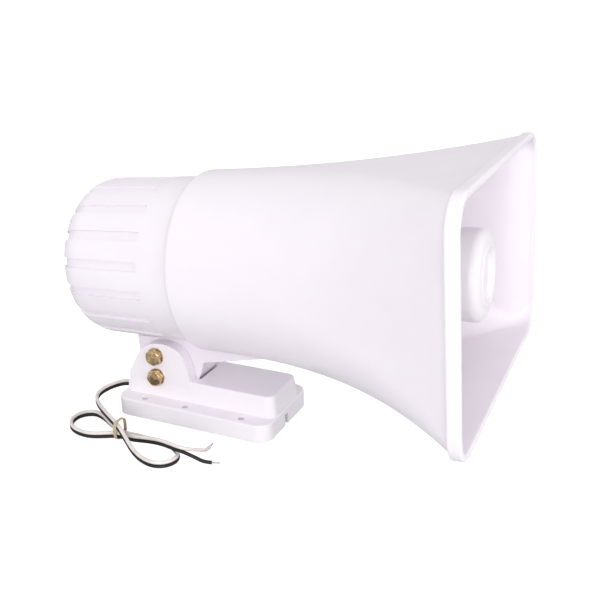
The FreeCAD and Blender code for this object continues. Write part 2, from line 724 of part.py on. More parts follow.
def phase_plug():
    """Bullet held by three ribs in a ring that presses into the frame's throat hole."""
    ring_outer = THROAT_RADIUS - PLUG_FIT
    ring_inner = ring_outer - PLUG_RING_WALL
    body = tube_x(ring_outer, ring_inner, BED_X + 0.5, GASKET_X)
    bullet_rear = BED_X + 1.2
    bullet = Part.makeCone(PLUG_RADIUS, 0.8, 12.0, vec(bullet_rear, 0, 0), X_AXIS)
    rib = box(bullet_rear, GASKET_X, -PLUG_RIB / 2, PLUG_RIB / 2, 0.5, ring_inner + 0.5)
    return body.fuse([bullet] + ring_of(rib, 3, 60).Solids)


def diaphragm():
    """Domed diaphragm with a flat edge."""
    rear = CONE_X - SURROUND_THICKNESS
    t = SURROUND_THICKNESS
    c = COIL_RADIUS
    half_way = c * 0.5
    sphere = (c**2 + DOME_HEIGHT**2) / (2 * DOME_HEIGHT)
    rise = DOME_HEIGHT - sphere + math.sqrt(sphere**2 - half_way**2)
    edges = [
        line(vec(rear, 0, DIAPHRAGM_RADIUS), vec(rear + t, 0, DIAPHRAGM_RADIUS)),
        line(vec(rear + t, 0, DIAPHRAGM_RADIUS), vec(rear + t, 0, c)),
        arc(vec(rear + t, 0, c), vec(rear + t + rise, 0, half_way), vec(rear + t + DOME_HEIGHT, 0, 0)),
        line(vec(rear + t + DOME_HEIGHT, 0, 0), vec(rear + DOME_HEIGHT, 0, 0)),
        arc(vec(rear + DOME_HEIGHT, 0, 0), vec(rear + rise, 0, half_way), vec(rear, 0, c)),
        line(vec(rear, 0, c), vec(rear, 0, DIAPHRAGM_RADIUS)),
    ]
    return revolve_x(edges)


def surround():
    inner = DIAPHRAGM_RADIUS + EDGE_GAP
    return tube_x(SURROUND_RADIUS - PLUG_FIT, inner, CONE_X - SURROUND_THICKNESS, CONE_X)


def clamp_ring():
    return tube_x(SURROUND_RADIUS - PLUG_FIT, LEDGE_RADIUS, FRAME_REAR_X, CONE_X - SURROUND_THICKNESS)


def voice_coil():
    front = CONE_X - SURROUND_THICKNESS
    return tube_x(COIL_RADIUS, COIL_RADIUS - COIL_WALL, front - COIL_LENGTH, front)


def back_plate():
    plate = rod_x(TOP_PLATE_RADIUS, BACK_PLATE_REAR_X, MAGNET_REAR_X)
    return plate.fuse(rod_x(POLE_RADIUS, MAGNET_REAR_X - 1, FRAME_REAR_X)).removeSplitter()


def driver_screws():
    tip = SEAM_X + BULKHEAD - 1.0
    screw = pan_screw(
        DRIVER_SCREW_SHANK, DRIVER_SCREW_HEAD, DRIVER_SCREW_HEAD_HEIGHT, FRAME_REAR_X, tip
    )
    screw.translate(vec(0, 0, DRIVER_SCREW_CIRCLE))
    return ring_of(screw, DRIVER_SCREW_COUNT)


def terminal_block():
    depth, width, height = TERMINAL_BLOCK
    return box(TERMINAL_FRONT_X - depth, TERMINAL_FRONT_X, -width / 2, width / 2, -height / 2, height / 2)


def terminal(side):
    rear = TERMINAL_FRONT_X - TERMINAL_BLOCK[0]
    y = side * TERMINAL_SPACING / 2
    return rod_x(TERMINAL_RADIUS, rear - TERMINAL_LENGTH, rear, y, 0)


save("driver_frame", stand(driver_frame()))
save("driver_gasket", stand(driver_gasket()))
save("phase_plug", stand(phase_plug()))
save("diaphragm", stand(diaphragm()))
save("surround", stand(surround()))
save("surround_clamp_ring", stand(clamp_ring()))
save("voice_coil", stand(voice_coil()))
save("top_plate", stand(tube_x(TOP_PLATE_RADIUS, COIL_RADIUS + COIL_GAP, TOP_PLATE_REAR_X, FRAME_REAR_X)))
save("magnet", stand(tube_x(MAGNET_RADIUS, MAGNET_BORE, MAGNET_REAR_X, TOP_PLATE_REAR_X)))
save("back_plate", stand(back_plate()))
save("driver_screws", stand(driver_screws()))
save("terminal_block", stand(terminal_block()))
save("terminals", stand(Part.makeCompound([terminal(-1), terminal(1)])))


# ---- base ----
def plan_prism(half_x0, half_x1, half_y, corner, z0, z1):
    """Upright prism with rounded corners."""
    body = box(half_x0, half_x1, -half_y, half_y, z0, z1)
    uprights = [e for e in body.Edges if abs(e.BoundBox.ZLength - (z1 - z0)) < 0.01]
    return body.makeFillet(corner, uprights)


def plan_wire(x0, x1, half_y, corner, z):
    prism = plan_prism(x0, x1, half_y, corner, z, z + 1)
    low = [f for f in prism.Faces if f.BoundBox.ZMax < z + 0.01]
    return low[0].OuterWire


def block(inset, z0, z1):
    """Raised block with drafted sides, inset by a wall."""
    end = BASE_LENGTH / 2
    share = (z1 - PLINTH_HEIGHT) / (BLOCK_HEIGHT - PLINTH_HEIGHT)
    lean = BLOCK_DRAFT * share
    corner = max(BLOCK_CORNER - inset, 1.5)
    low = plan_wire(-end + inset + 0.6, end - inset - 0.6, BLOCK_HALF_FOOT - inset, corner, z0)
    half_top = BLOCK_HALF_FOOT - inset - lean
    high = plan_wire(-end + inset + 0.6 + lean / 2, end - inset - 0.6 - lean, half_top, corner, z1)
    return Part.makeLoft([low, high], True, True)


def ear_plate(y0, y1):
    """Domed ear, its foot sunk into the block."""
    outline = [
        (EAR_HEEL_X, PLINTH_HEIGHT),
        EAR_REAR_MID,
        EAR_REAR_SHOULDER,
        (EAR_CROWN_X, PIVOT_Z + EAR_TOP),
        EAR_FRONT_SHOULDER,
        EAR_FRONT_MID,
        (EAR_TOE_X, BLOCK_HEIGHT - EAR_TOE_SINK),
        (EAR_TOE_X, PLINTH_HEIGHT),
    ]
    points = [vec(x, y0, z) for x, z in outline]
    edges = [
        arc(points[0], points[1], points[2]),
        arc(points[2], points[3], points[4]),
        arc(points[4], points[5], points[6]),
        line(points[6], points[7]),
        line(points[7], points[0]),
    ]
    return Part.Face(Part.Wire(edges)).extrude(vec(0, y1 - y0, 0))


def ledge_holes():
    """Places of the six wood-screw holes."""
    places = []
    for side in (-1, 1):
        for x in (-SCREW_END_X, SCREW_MID_X, SCREW_END_X):
            places.append((x, side * SCREW_ROW_Y))
    return places


def recess_walls():
    """Side walls of the foot's recess, and its curved front wall, concentric with the hinge."""
    toe_room = FOOT_TOE_RADIUS + RECESS_FRONT_GAP
    front = PIVOT_X + toe_room
    side = EAR_INNER + BASE_WALL
    low = PLINTH_HEIGHT - BASE_WALL
    high = BLOCK_HEIGHT - BASE_WALL / 2
    curve = rod_y(toe_room + BASE_WALL, -side, side, PIVOT_X, PIVOT_Z)
    curve = curve.common(box(PIVOT_X + RECESS_CURVE_START, front, -side, side, low, high))
    rails = box(RECESS_WALL_REAR_X, EAR_TOE_X, -side, side, low, high)
    return curve.fuse(rails).cut(recess_room())


def recess_room():
    """Room for the foot between the ears, round in front where the foot's toe swings."""
    high = PIVOT_Z * 2
    toe = rod_y(FOOT_TOE_RADIUS + RECESS_FRONT_GAP, -EAR_INNER, EAR_INNER, PIVOT_X, PIVOT_Z)
    ahead = box(PIVOT_X, PIVOT_X + FOOT_TOE_RADIUS * 2, -EAR_INNER, EAR_INNER, 0, high)
    behind_low = PLINTH_HEIGHT - BASE_WALL - 1
    rear_x = BASE_WALL - BASE_LENGTH / 2
    behind = box(rear_x, PIVOT_X + RECESS_CURVE_START, -EAR_INNER, EAR_INNER, behind_low, high)
    return toe.common(ahead).fuse(behind)


def bracket_base():
    end = BASE_LENGTH / 2
    plinth = plan_prism(-end, end, BASE_WIDTH / 2, BASE_CORNER, 0, PLINTH_HEIGHT)
    top_edges = [e for e in plinth.Edges if e.BoundBox.ZMin > PLINTH_HEIGHT - 0.01]
    plinth = plinth.makeFillet(BASE_EDGE, top_edges)
    raised = block(0, PLINTH_HEIGHT - BASE_EDGE - 0.5, BLOCK_HEIGHT)
    top_edges = [e for e in raised.Edges if e.BoundBox.ZMin > BLOCK_HEIGHT - 0.01]
    raised = raised.makeFillet(BASE_EDGE, top_edges)
    body = plinth.fuse([raised, ear_plate(-EAR_OUTER, -EAR_INNER), ear_plate(EAR_INNER, EAR_OUTER)])
    wall = BASE_WALL
    hollow = plan_prism(
        wall - end, end - wall, BASE_WIDTH / 2 - wall, BASE_CORNER - wall, -1, PLINTH_HEIGHT - wall
    )
    body = body.cut(hollow)
    body = body.cut(block(wall, PLINTH_HEIGHT - wall - 0.5, BLOCK_HEIGHT - wall))
    body = body.cut(recess_room()).fuse(recess_walls())
    bosses = []
    holes = []
    for x, y in ledge_holes():
        boss = Part.makeCylinder(SCREW_BOSS_RADIUS, PLINTH_HEIGHT - 1, vec(x, y, 0), Z_AXIS)
        bosses.append(boss.common(plan_prism(-end, end, BASE_WIDTH / 2, BASE_CORNER, 0, PLINTH_HEIGHT)))
        holes.append(Part.makeCylinder(SCREW_HOLE_RADIUS, PLINTH_HEIGHT + 2, vec(x, y, -1), Z_AXIS))
    body = body.fuse(bosses).cut(holes)
    for z in (PIVOT_Z, CLAMP_Z):
        body = body.cut(rod_y(BOLT_RADIUS + HINGE_FIT, -EAR_OUTER - 1, EAR_OUTER + 1, PIVOT_X, z))
    notch_y0 = NOTCH_Y - NOTCH_WIDTH / 2
    body = body.cut(box(end - wall * 2, end + 1, notch_y0, notch_y0 + NOTCH_WIDTH, -1, NOTCH_HEIGHT))
    spot = BLOCK_HALF_FOOT - EAR_OUTER + 1
    for y0, y1 in ((-EAR_OUTER - spot, -EAR_OUTER), (EAR_OUTER, EAR_OUTER + spot)):
        body = body.cut(rod_y(WASHER_RADIUS + SPOT_FACE, y0, y1, PIVOT_X, CLAMP_Z))
    lead_hole = rod_x(GROMMET_RADIUS + GROMMET_FIT, -end - 1, -end + wall + 2, GROMMET_Y, GROMMET_Z)
    return body.cut(lead_hole).removeSplitter()


def hex_bolt(z):
    """Bolt through both ears, its head on the near side and its thread end past the nut."""
    seat = -EAR_OUTER - WASHER_THICKNESS
    end = EAR_OUTER + WASHER_THICKNESS + NUT_HEIGHT + BOLT_TAIL
    head = hex_y(BOLT_FLATS, seat - BOLT_HEAD_HEIGHT, seat, PIVOT_X, z)
    face = vec(PIVOT_X, seat - BOLT_HEAD_HEIGHT, z)
    face_radius = BOLT_FLATS / 2
    chamfer = Part.makeCone(face_radius, face_radius * 2, face_radius, face, Y_AXIS)
    return head.common(chamfer).fuse(rod_y(BOLT_RADIUS, seat, end, PIVOT_X, z))


def hex_nut(z):
    seat = EAR_OUTER + WASHER_THICKNESS
    nut = hex_y(BOLT_FLATS, seat, seat + NUT_HEIGHT, PIVOT_X, z)
    return nut.cut(rod_y(BOLT_RADIUS + PLUG_FIT, seat - 1, seat + NUT_HEIGHT + 1, PIVOT_X, z))


def washers(z):
    pair = []
    for y in (-EAR_OUTER - WASHER_THICKNESS, EAR_OUTER):
        disc = rod_y(WASHER_RADIUS, y, y + WASHER_THICKNESS, PIVOT_X, z)
        hole = rod_y(BOLT_RADIUS + WASHER_FIT, y - 1, y + WASHER_THICKNESS + 1, PIVOT_X, z)
        pair.append(disc.cut(hole))
    return Part.makeCompound(pair)


save("bracket_base", bracket_base())
save("pivot_bolt", hex_bolt(PIVOT_Z))
save("pivot_nut", hex_nut(PIVOT_Z))
save("pivot_washers", washers(PIVOT_Z))
save("clamp_bolt", hex_bolt(CLAMP_Z))
save("clamp_nut", hex_nut(CLAMP_Z))
save("clamp_washers", washers(CLAMP_Z))


# ---- lead: two wires that lie one on the other, looped and tied ----
# The route is the middle of the pair, from the grommet to where the wires part. The fourth
# number is how far the white wire leans from above the black one towards the near side.
LEAD_ROUTE = [
    (-50.0, -8.0, 11.0, 0),
    (-63.0, -8.0, 11.0, 0),
    (-70.0, -15.0, 10.4, 0),
    (-73.2, -25.0, 9.8, 0),
    (-71.6, -34.0, 9.4, 0),
    (-64.0, -42.4, 9.2, 0),
    (-49.2, -52.6, 9.1, 0),
    (-34.0, -62.2, 9.3, 0),
    (-24.0, -69.5, 7.6, 0),
    (-13.0, -77.0, 3.8, 0),
    (-3.0, -81.6, 2.45, 0),
    (6.5, -83.4, 2.45, 0),
    (13.6, -79.6, 2.45, 0),
    (16.0, -72.4, 2.45, 0),
    (12.6, -65.4, 2.45, 10),
    (3.0, -60.0, 2.4, 30),
    (-10.5, -56.8, 2.1, 50),
    (-22.0, -57.2, 2.4, 60),
    (-34.0, -58.9, 3.3, 55),
    (-46.0, -53.2, 2.8, 30),
    (-56.4, -46.2, 2.45, 10),
    (-66.0, -42.6, 2.45, 0),
    (-73.4, -47.0, 2.45, 0),
    (-75.2, -55.0, 2.45, 0),
    (-71.0, -63.4, 2.45, 0),
    (-62.6, -68.4, 2.45, 0),
    (-52.0, -69.4, 2.45, 0),
    (-42.6, -66.2, 2.9, 0),
    (-34.0, -62.9, 3.6, 0),
    (-23.6, -64.0, 3.7, 0),
    (-10.0, -65.4, 6.4, 0),
    (2.0, -68.4, 9.1, 0),
    (12.0, -70.6, 9.4, 0),
    (19.6, -70.0, 8.0, 0),
]
WHITE_END = [(24.4, -64.4, 6.6), (26.0, -57.4, 2.8), (25.8, -53.6, 1.15), (25.6, -50.0, 1.15)]
BLACK_END = [(27.0, -69.2, 4.4), (31.5, -67.0, 1.15), (36.0, -65.6, 1.15)]


def wire_points(side, ends):
    """Middle line of the white wire (side 1) or the black one (side -1)."""
    points = []
    for x, y, z, lean in LEAD_ROUTE:
        turn = math.radians(lean)
        reach = side * WIRE_PITCH / 2
        points.append(vec(x, y - reach * math.sin(turn), z + reach * math.cos(turn)))
    return points + [vec(x, y, z) for x, y, z in ends]


def tube_along(name, points, radius):
    """Round tube along straight runs joined by tangent arcs, each as large as its runs allow."""
    edges = []
    radii = []
    here = points[0]
    for before, corner, after in zip(points, points[1:], points[2:]):
        back = before - corner
        ahead = after - corner
        cut = 0.45 * min(back.Length, ahead.Length)
        turn = math.pi - back.getAngle(ahead)
        bend = cut / math.tan(turn / 2)
        radii.append(bend)
        back.normalize()
        ahead.normalize()
        start = corner + back * cut
        end = corner + ahead * cut
        inward = back + ahead
        inward.normalize()
        centre = corner + inward * (bend / math.cos(turn / 2))
        edges.append(line(here, start))
        edges.append(arc(start, centre - inward * bend, end))
        here = end
    edges.append(line(here, points[-1]))
    path = Part.Wire(edges)
    section = Part.Wire(Part.makeCircle(radius, points[0], points[1] - points[0]))
    tube = path.makePipeShell([section], True, False)
    print(name, "length", round(path.Length, 1), "least bend", round(min(radii), 1))
    return tube


def end_stub(points):
    """Bare tinned strands past a wire's insulation."""
    return Part.makeCylinder(CONDUCTOR_RADIUS, TIP_LENGTH, points[-1], points[-1] - points[-2])


WHITE_POINTS = wire_points(1, WHITE_END)
BLACK_POINTS = wire_points(-1, BLACK_END)


def lead_grommet():
    """Rubber bush in the base's rear wall, with a slot for the two wires."""
    outer_x = -BASE_LENGTH / 2
    inner_x = outer_x + BASE_WALL
    flange = GROMMET_FLANGE_THICKNESS
    lip_x = inner_x + GROMMET_LIP_GAP
    body = rod_x(GROMMET_RADIUS, outer_x - flange, lip_x, GROMMET_Y, GROMMET_Z)
    body = body.fuse(rod_x(GROMMET_FLANGE, outer_x - flange, outer_x, GROMMET_Y, GROMMET_Z))
    body = body.fuse(rod_x(GROMMET_FLANGE, lip_x, lip_x + flange, GROMMET_Y, GROMMET_Z))
    hole = WIRE_RADIUS + WIRE_FIT
    for side in (-1, 1):
        z = GROMMET_Z + side * WIRE_PITCH / 2
        body = body.cut(rod_x(hole, outer_x - GROMMET_FLANGE, inner_x + GROMMET_FLANGE, GROMMET_Y, z))
    return body


def tie_prism(inset):
    """Rounded upright bar across the three passes of the lead, inset by the tie's thickness."""
    body = box(TIE_X, TIE_X + TIE_WIDTH, TIE_NEAR_Y + inset, TIE_FAR_Y - inset, inset, TIE_HEIGHT - inset)
    edges = [e for e in body.Edges if abs(e.BoundBox.XLength - TIE_WIDTH) < 0.01]
    return body.makeFillet(TIE_CORNER - inset, edges)


def lead_tie():
    """Flat tie looped round the three passes of the lead."""
    return tie_prism(0).cut(tie_prism(TIE_THICKNESS))


save("white_lead", tube_along("white_lead", WHITE_POINTS, WIRE_RADIUS))
save("black_lead", tube_along("black_lead", BLACK_POINTS, WIRE_RADIUS))
save("white_lead_tip", end_stub(WHITE_POINTS))
save("black_lead_tip", end_stub(BLACK_POINTS))
save("lead_grommet", lead_grommet())
save("lead_tie", lead_tie())


# ---- inner leads, from the terminals down through the cover into the foot ----
def entry_grommet():
    """Rubber bush that carries the leads through the cover's wall and the foot's roof."""
    top = -(COVER_REAR_RADIUS - COVER_WALL) + ENTRY_STEP
    bottom = -(COVER_FRONT_RADIUS + ENTRY_REACH)
    body = lead_entry(ENTRY_RADIUS, top + ENTRY_FLANGE_THICKNESS, bottom)
    body = body.fuse(lead_entry(ENTRY_FLANGE, top + ENTRY_FLANGE_THICKNESS, top))
    for side in (-1, 1):
        hole = lead_entry(WIRE_RADIUS + GROMMET_FIT, top + ENTRY_RUN, bottom - ENTRY_RUN)
        hole.translate(vec(0, side * INNER_WIRE_SPACING / 2, 0))
        body = body.cut(hole)
    return body


def inner_lead(name, side):
    terminal_x = TERMINAL_FRONT_X - TERMINAL_BLOCK[0] - TERMINAL_LENGTH / 2
    terminal_y = side * TERMINAL_SPACING / 2
    entry_y = side * INNER_WIRE_SPACING / 2
    start = -TERMINAL_RADIUS
    drop = INNER_WIRE_DROP
    end = -(COVER_FRONT_RADIUS + INNER_WIRE_TAIL)
    points = [
        vec(terminal_x, terminal_y, start),
        vec(terminal_x, terminal_y, start - drop),
        vec(-ENTRY_DEPTH - INNER_WIRE_SWING, (terminal_y + entry_y) / 2, start - drop * 2),
        vec(-ENTRY_DEPTH, entry_y, start - drop * 3),
        vec(-ENTRY_DEPTH, entry_y, end),
    ]
    return tube_along(name, points, WIRE_RADIUS)


save("entry_grommet", stand(entry_grommet()))
save("inner_white_lead", stand(inner_lead("inner_white_lead", 1)))
save("inner_black_lead", stand(inner_lead("inner_black_lead", -1)))
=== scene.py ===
import bpy
import math
from mathutils import Matrix, Vector


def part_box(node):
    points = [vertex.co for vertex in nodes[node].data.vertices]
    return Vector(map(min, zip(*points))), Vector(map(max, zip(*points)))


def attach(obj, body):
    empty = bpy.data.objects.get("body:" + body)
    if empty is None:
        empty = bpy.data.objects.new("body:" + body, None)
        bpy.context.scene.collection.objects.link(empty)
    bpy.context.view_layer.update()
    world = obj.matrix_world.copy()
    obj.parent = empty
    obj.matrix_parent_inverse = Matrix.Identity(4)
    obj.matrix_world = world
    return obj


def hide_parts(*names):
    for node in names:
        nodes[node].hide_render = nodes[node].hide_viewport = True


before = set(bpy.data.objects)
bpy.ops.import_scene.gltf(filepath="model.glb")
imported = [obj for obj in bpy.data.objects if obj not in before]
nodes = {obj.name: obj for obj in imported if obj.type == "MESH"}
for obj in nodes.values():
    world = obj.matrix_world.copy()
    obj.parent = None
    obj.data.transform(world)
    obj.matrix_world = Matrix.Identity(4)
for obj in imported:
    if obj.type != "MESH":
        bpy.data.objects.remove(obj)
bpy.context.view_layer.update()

# ---- camera ----
# A short portrait lens stands in front of the mouth, to its right, and looks a little down
# on the horn. It aims at a point above the base's middle line.
VIEW_AZIMUTH = math.radians(24.05)
VIEW_ELEVATION = math.radians(20.3)
VIEW_ROLL = math.radians(0.48)
VIEW_DISTANCE = 0.515
VIEW_TARGET = Vector((0.0659, 0, 0.0875))

camera_data = bpy.data.cameras.new("camera")
camera_data.sensor_width = 36
camera_data.lens = 49.75
camera = bpy.data.objects.new("camera", camera_data)
bpy.context.scene.collection.objects.link(camera)
bpy.context.scene.camera = camera
level = math.cos(VIEW_ELEVATION)
camera_back = Vector((
    math.sin(VIEW_AZIMUTH) * level,
    -math.cos(VIEW_AZIMUTH) * level,
    math.sin(VIEW_ELEVATION),
))
camera_right = Vector((math.cos(VIEW_AZIMUTH), math.sin(VIEW_AZIMUTH), 0))
camera_up = camera_back.cross(camera_right)
upright = Matrix((camera_right, camera_up, camera_back)).transposed()
camera.rotation_mode = "QUATERNION"
camera.rotation_quaternion = (upright @ Matrix.Rotation(-VIEW_ROLL, 3, "Z")).to_quaternion()
camera.location = VIEW_TARGET + camera_back * VIEW_DISTANCE

# ---- floor and studio light ----
# The horn stands on a seamless dish of white paper, which glows until it is pure white but
# whose glow lights nothing else. Round it is a light tent, dimmer near the horizon, with one
# low soft lamp near the lens and one that shines into the mouth.
FLOOR_GLOW = 0.78
TENT_HIGH = 0.83
TENT_LOW = 0.46
TENT_DIM_FROM = 0.02
TENT_DIM_TO = 0.5
PAPER_RADIUS = 4.0
PAPER_DROP = 0.0004
PAPER_RISES = ((0.05, 1.08), (0.15, 1.06), (0.3, 1.04), (0.6, 1.02), (1.0, 1.0))
KEY_PLACE = (0.38, -1.34, 0.52)
KEY_AIM = (0.05, 0, 0.08)
KEY_SIZE = 0.8
KEY_WATTS = 7.6
MOUTH_LAMP_PLACE = (1.45, -0.42, 0.42)
MOUTH_LAMP_AIM = (0.15, 0, 0.10)
MOUTH_LAMP_SIZE = 1.0
MOUTH_LAMP_WATTS = 6.5

bpy.ops.object.select_all(action="DESELECT")
bpy.ops.mesh.primitive_circle_add(
    vertices=96, radius=PAPER_RADIUS, fill_type="NGON", location=(0, 0, -PAPER_DROP)
)
floor = bpy.context.object
floor.name = "floor"
bpy.ops.object.transform_apply(location=True, rotation=True, scale=True)
bpy.ops.object.mode_set(mode="EDIT")
bpy.ops.mesh.select_mode(type="EDGE")
bpy.ops.mesh.select_all(action="SELECT")
bpy.ops.mesh.region_to_loop()
for rise, widen in PAPER_RISES:
    bpy.ops.mesh.extrude_edges_move(TRANSFORM_OT_translate={"value": (0, 0, rise)})
    bpy.ops.transform.resize(value=(widen, widen, 1), center_override=(0, 0, 0))
bpy.ops.object.mode_set(mode="OBJECT")


def new_material(name):
    """A material, its node tree and the tree's principled shader."""
    material = bpy.data.materials.new(name)
    material.use_nodes = True
    return material, material.node_tree, material.node_tree.nodes["Principled BSDF"]


def colour_between(tree, amount, low, high, start=0.0, end=1.0):
    """A colour that goes from low to high as the amount goes from start to end."""
    ramp = tree.nodes.new("ShaderNodeValToRGB")
    ramp.color_ramp.elements[0].position = start
    ramp.color_ramp.elements[0].color = (*low, 1)
    ramp.color_ramp.elements[1].position = end
    ramp.color_ramp.elements[1].color = (*high, 1)
    tree.links.new(amount, ramp.inputs["Fac"])
    return ramp.outputs["Color"]


floor_material, _, floor_shader = new_material("floor_paper")
floor_shader.inputs["Base Color"].default_value = (0.57, 0.57, 0.575, 1)
floor_shader.inputs["Roughness"].default_value = 0.55
floor_shader.inputs["Emission Color"].default_value = (1, 0.985, 1, 1)
floor_shader.inputs["Emission Strength"].default_value = FLOOR_GLOW
floor.data.materials.append(floor_material)
paper_only = bpy.data.collections.new("lit_by_the_paper")
paper_only.objects.link(floor)
floor.light_linking.receiver_collection = paper_only

bpy.context.scene.view_settings.view_transform = "Standard"
world = bpy.data.worlds.new("light_tent")
bpy.context.scene.world = world
world.use_nodes = True
tent = world.node_tree
sky = tent.nodes.new("ShaderNodeTexCoord")
split = tent.nodes.new("ShaderNodeSeparateXYZ")
tent.links.new(sky.outputs["Generated"], split.inputs["Vector"])
dim_white = (TENT_LOW, TENT_LOW, TENT_LOW)
full_white = (TENT_HIGH, TENT_HIGH, TENT_HIGH)
tent_colour = colour_between(tent, split.outputs["Z"], dim_white, full_white, TENT_DIM_FROM, TENT_DIM_TO)
tent.links.new(tent_colour, tent.nodes["Background"].inputs["Color"])
tent.nodes["Background"].inputs["Strength"].default_value = 1.0


def soft_lamp(name, place, aim, size, watts):
    lamp_data = bpy.data.lights.new(name, "AREA")
    lamp_data.size = size
    lamp_data.energy = watts
    lamp = bpy.data.objects.new(name, lamp_data)
    lamp.location = place
    lamp.rotation_euler = (Vector(aim) - Vector(place)).to_track_quat("-Z", "Y").to_euler()
    bpy.context.scene.collection.objects.link(lamp)


soft_lamp("key_lamp", KEY_PLACE, KEY_AIM, KEY_SIZE, KEY_WATTS)
soft_lamp("mouth_lamp", MOUTH_LAMP_PLACE, MOUTH_LAMP_AIM, MOUTH_LAMP_SIZE, MOUTH_LAMP_WATTS)

# ---- horn bell and its foot ----
# One glossy white ABS moulding: the flared mouth, the round bulkhead, and the hollow foot
# that the tilt bolts clamp. The mould leaves a very faint orange peel and soft flow marks.
SHELL_WHITE = (0.900, 0.846, 0.908)
SHELL_SHADE = (0.858, 0.800, 0.868)


def add_node(tree, kind, **sockets):
    """A node with its input sockets set by name, an underscore standing for a space."""
    node = tree.nodes.new(kind)
    for key, value in sockets.items():
        node.inputs[key.replace("_", " ")].default_value = value
    return node


def value_between(tree, amount, low, high):
    """A number that goes from low to high as the amount goes from 0 to 1."""
    spread = add_node(tree, "ShaderNodeMapRange", To_Min=low, To_Max=high)
    tree.links.new(amount, spread.inputs["Value"])
    return spread.outputs["Result"]


def dress(node_names, material):
    """Gives CAD pieces their finish."""
    for name in node_names:
        slots = nodes[name].data.materials
        slots.clear()
        slots.append(material)
        for face in nodes[name].data.polygons:
            face.material_index = 0


def moulded_plastic(name, low, high, rough_low, rough_high, peel, peel_size):
    """Injection-moulded ABS: slow flow marks in tone and gloss, and a fine peel in the skin."""
    material, tree, shader = new_material(name)
    place = tree.nodes.new("ShaderNodeTexCoord").outputs["Object"]
    stretch = tree.nodes.new("ShaderNodeMapping")
    stretch.inputs["Scale"].default_value = (7, 13, 13)
    tree.links.new(place, stretch.inputs["Vector"])
    flow = add_node(
        tree, "ShaderNodeTexNoise", Scale=1.0, Detail=5.0, Roughness=0.6, Distortion=1.2
    )
    tree.links.new(stretch.outputs["Vector"], flow.inputs["Vector"])
    tone = colour_between(tree, flow.outputs["Fac"], low, high, 0.18, 0.62)
    tree.links.new(tone, shader.inputs["Base Color"])
    smear = add_node(tree, "ShaderNodeTexNoise", Scale=46.0, Detail=6.0, Roughness=0.65)
    tree.links.new(place, smear.inputs["Vector"])
    gloss = value_between(tree, smear.outputs["Fac"], rough_low, rough_high)
    tree.links.new(gloss, shader.inputs["Roughness"])
    skin = add_node(tree, "ShaderNodeTexNoise", Scale=peel_size, Detail=3.0, Roughness=0.5)
    tree.links.new(place, skin.inputs["Vector"])
    bump = add_node(tree, "ShaderNodeBump", Strength=peel, Distance=0.00025)
    tree.links.new(skin.outputs["Fac"], bump.inputs["Height"])
    tree.links.new(bump.outputs["Normal"], shader.inputs["Normal"])
    shader.inputs["IOR"].default_value = 1.5
    shader.inputs["Subsurface Weight"].default_value = 0.06
    shader.inputs["Subsurface Scale"].default_value = 0.004
    shader.inputs["Subsurface Radius"].default_value = (1.0, 0.8, 0.9)
    return material


dress(["horn_bell"], moulded_plastic("bell_abs", SHELL_SHADE, SHELL_WHITE, 0.26, 0.42, 0.10, 620))

# ---- rear cover ----
# The round ribbed cap over the driver, moulded in the same white ABS with a little more
# orange peel. Four screws hold it to the bell.
dress(["rear_cover"], moulded_plastic("cover_abs", SHELL_SHADE, SHELL_WHITE, 0.27, 0.43, 0.12, 540))

# ---- reflector and throat tube ----
# The turned-back inner horn: a round white reflector with a raised ring and a shallow dish,
# on the tube that leads the sound out of the driver.
REFLECTOR_WHITE = (0.898, 0.856, 0.896)
REFLECTOR_SHADE = (0.864, 0.820, 0.862)
dress(
    ["reflector", "throat_tube"],
    moulded_plastic("reflector_abs", REFLECTOR_SHADE, REFLECTOR_WHITE, 0.24, 0.36, 0.08, 700),
)

# ---- base ----
# The screw-down base with its ledge of screw holes, its two ears and its block, in white ABS.
# Its colour is painted a little lighter than the bell's, a painted brightening that stands in for light,
# and its skin is a little duller.
BASE_WHITE_PAINTED_LIGHTER = (0.950, 0.905, 0.960)
BASE_SHADE_PAINTED_LIGHTER = (0.922, 0.874, 0.932)
dress(["bracket_base"], moulded_plastic("base_abs_painted_lighter", BASE_SHADE_PAINTED_LIGHTER, BASE_WHITE_PAINTED_LIGHTER, 0.32, 0.50, 0.14, 480))

# ---- tilt bolts, nuts and washers ----
# M6 hex bolts of yellow-passivated steel with cold-forged heads, chamfered nuts and flat
# washers. The plating is mottled and finely scratched. The threads are plain rings.
BOLT_FLATS = 0.0100
BOLT_HEAD = 0.0040
BOLT_CORE = 0.00252
BOLT_CREST = 0.0030
THREAD_PITCH = 0.0010
WASHER_FACE = 0.0047
WASHER_FACE_HEIGHT = 0.0006
HEX_CORNER = BOLT_FLATS / math.sqrt(3)
CHAMFER_RIM = BOLT_FLATS / 2 * 0.95
CHAMFER_WIDE = HEX_CORNER + 0.0004
CHAMFER_EDGE = 0.00008
CHAMFER_INSET = 0.0004
CHAMFER_DROP = CHAMFER_EDGE + (CHAMFER_WIDE - CHAMFER_RIM) * math.tan(math.radians(30))
PLAIN_SHANK = 0.0100
NUT_HOLE = BOLT_CREST + 0.0001
NUT_CHAMFER = 0.0006
NUT_MOUTH = NUT_HOLE + 0.0005
CUT_MARGIN = 0.001
SHARP_ANGLE = math.radians(28)


